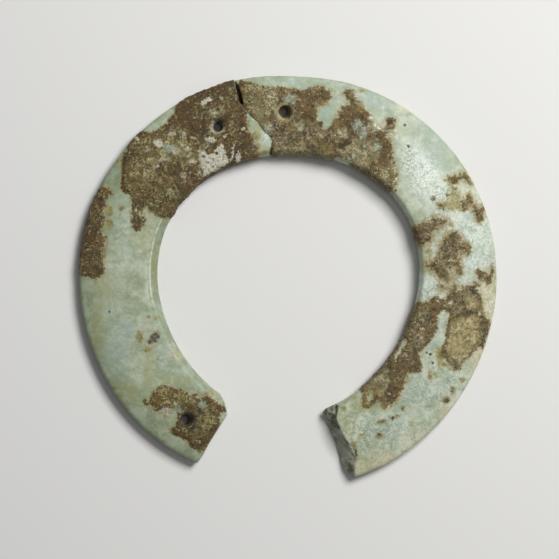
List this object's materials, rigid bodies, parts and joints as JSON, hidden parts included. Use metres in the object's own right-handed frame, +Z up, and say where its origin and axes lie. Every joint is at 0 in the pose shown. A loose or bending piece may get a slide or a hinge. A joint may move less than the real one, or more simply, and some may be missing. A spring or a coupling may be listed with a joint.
{
  "type": "bracelet",
  "caption": "Flat stone ring bracelet broken into matching fragments, with a lens-shaped band, a bevelled wrist opening and cone-drilled lashing holes.",
  "frame": {"origin": "middle of the bounding box of the bracelet as it lies, at the level of the surface that it lies on", "axes": "+Z up, square to the ring's plane; +Y from the gap of the lost fragment towards the mended break; +X to the right as seen from above, towards the longer fragment"},
  "size_m": [0.1002, 0.0964, 0.0053],
  "materials": {
    "nephrite": "pale green waxy stone with earthy burial crust, chalky weathering and rough broken faces"
  },
  "bodies": {
    "left": {"left_fragment": "nephrite"},
    "right": {"right_fragment": "nephrite"}
  },
  "joints": [
    {"name": "fragment_parting", "type": "slide", "parent": "left", "child": "right", "axis": [0.9848, 0.1736, 0], "range_m": [0, 0.04]}
  ]
}
